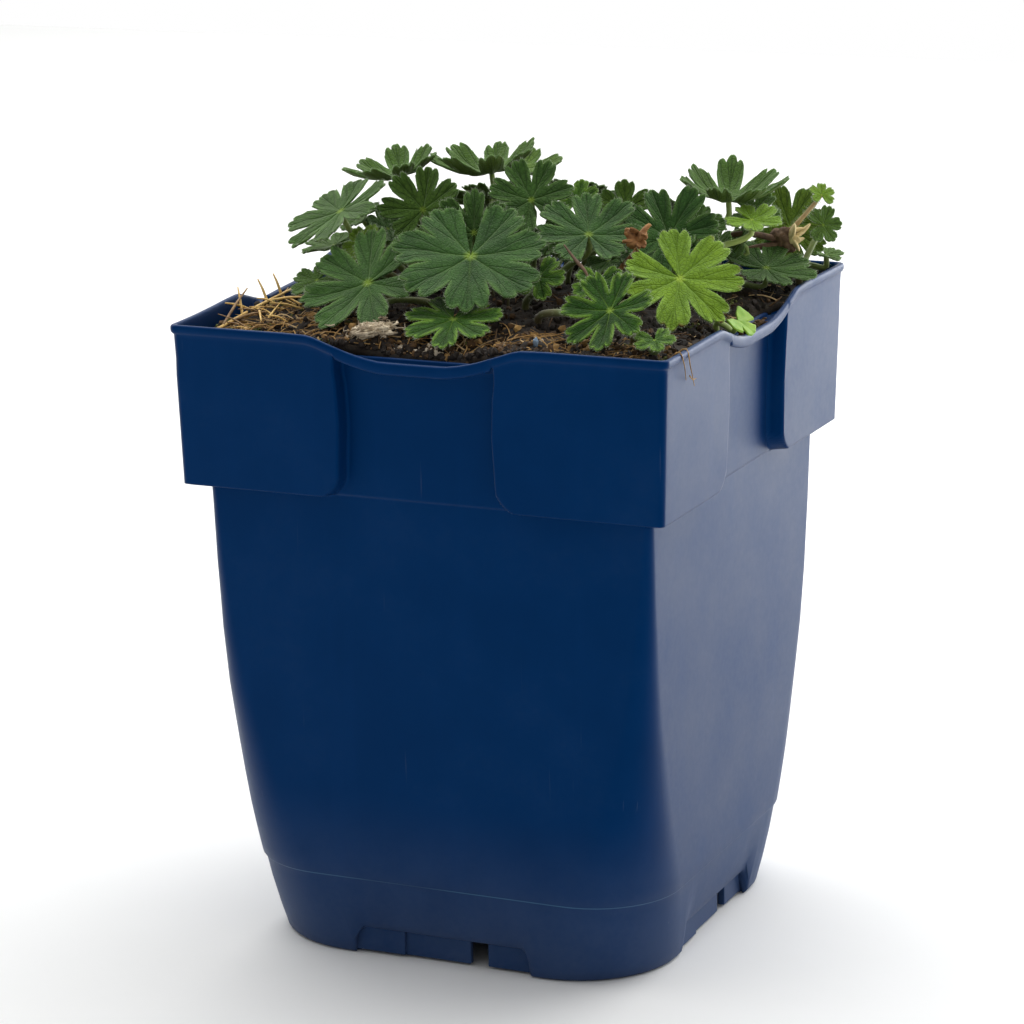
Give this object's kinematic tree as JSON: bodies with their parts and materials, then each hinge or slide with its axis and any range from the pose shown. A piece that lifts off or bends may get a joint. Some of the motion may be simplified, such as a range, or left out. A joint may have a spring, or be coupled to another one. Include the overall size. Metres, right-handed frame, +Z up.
{
  "type": "potted hardy geranium",
  "caption": "Young hardy geranium in a square tapering nursery pot: a low mound of rounded, deeply cut leaves on thin stalks over dark soil that fills the pot to its dipped rim.",
  "frame": {"origin": "centre of the pot's square footprint, on the surface that it stands on", "axes": "+Z up, +X to the right along the front wall of the pot, the front wall faces -Y"},
  "size_m": [0.1119, 0.11, 0.1655],
  "materials": {
    "pot": "moulded polypropylene, deep navy blue, satin, faintly scuffed",
    "soil": "moist dark peat compost with bark fibre and grit",
    "leaf": "softly hairy grey-green foliage, paler along the veins and edges",
    "young_leaf": "young soft yellow-green foliage",
    "dead_leaf": "dry shrivelled brown leaf",
    "woody": "brown woody shoot with pale bud scales",
    "straw": "dry golden straw",
    "bark": "pale dry bark"
  },
  "bodies": {
    "root": {"pot": "pot", "soil": "soil", "leaf_01": "leaf", "leaf_02": "leaf", "leaf_03": "leaf", "leaf_04": "leaf", "leaf_05": "leaf", "leaf_06": "leaf", "leaf_07": "young_leaf", "leaf_08": "leaf", "leaf_09": "leaf", "leaf_10": "leaf", "leaf_11": "leaf", "leaf_12": "leaf", "leaf_13": "leaf", "leaf_14": "young_leaf", "leaf_15": "young_leaf", "leaf_16": "leaf", "leaf_17": "leaf", "leaf_18": "young_leaf", "leaf_19": "leaf", "leaf_20": "leaf", "leaf_21": "leaf", "leaf_22": "leaf", "leaf_23": "leaf", "leaf_24": "leaf", "leaf_25": "leaf", "leaf_26": "leaf", "leaf_27": "leaf", "leaf_28": "leaf", "leaf_29": "leaf", "leaf_30": "leaf", "leaf_31": "leaf", "leaf_32": "leaf", "leaf_33": "leaf", "leaf_34": "leaf", "leaf_35": "leaf", "leaf_36": "leaf", "leaf_37": "leaf", "leaf_38": "leaf", "leaf_39": "young_leaf", "dead_leaf": "dead_leaf", "seedling": "young_leaf", "woody_shoot": "woody", "straw": "straw", "bark_chip": "bark"}
  },
  "joints": []
}
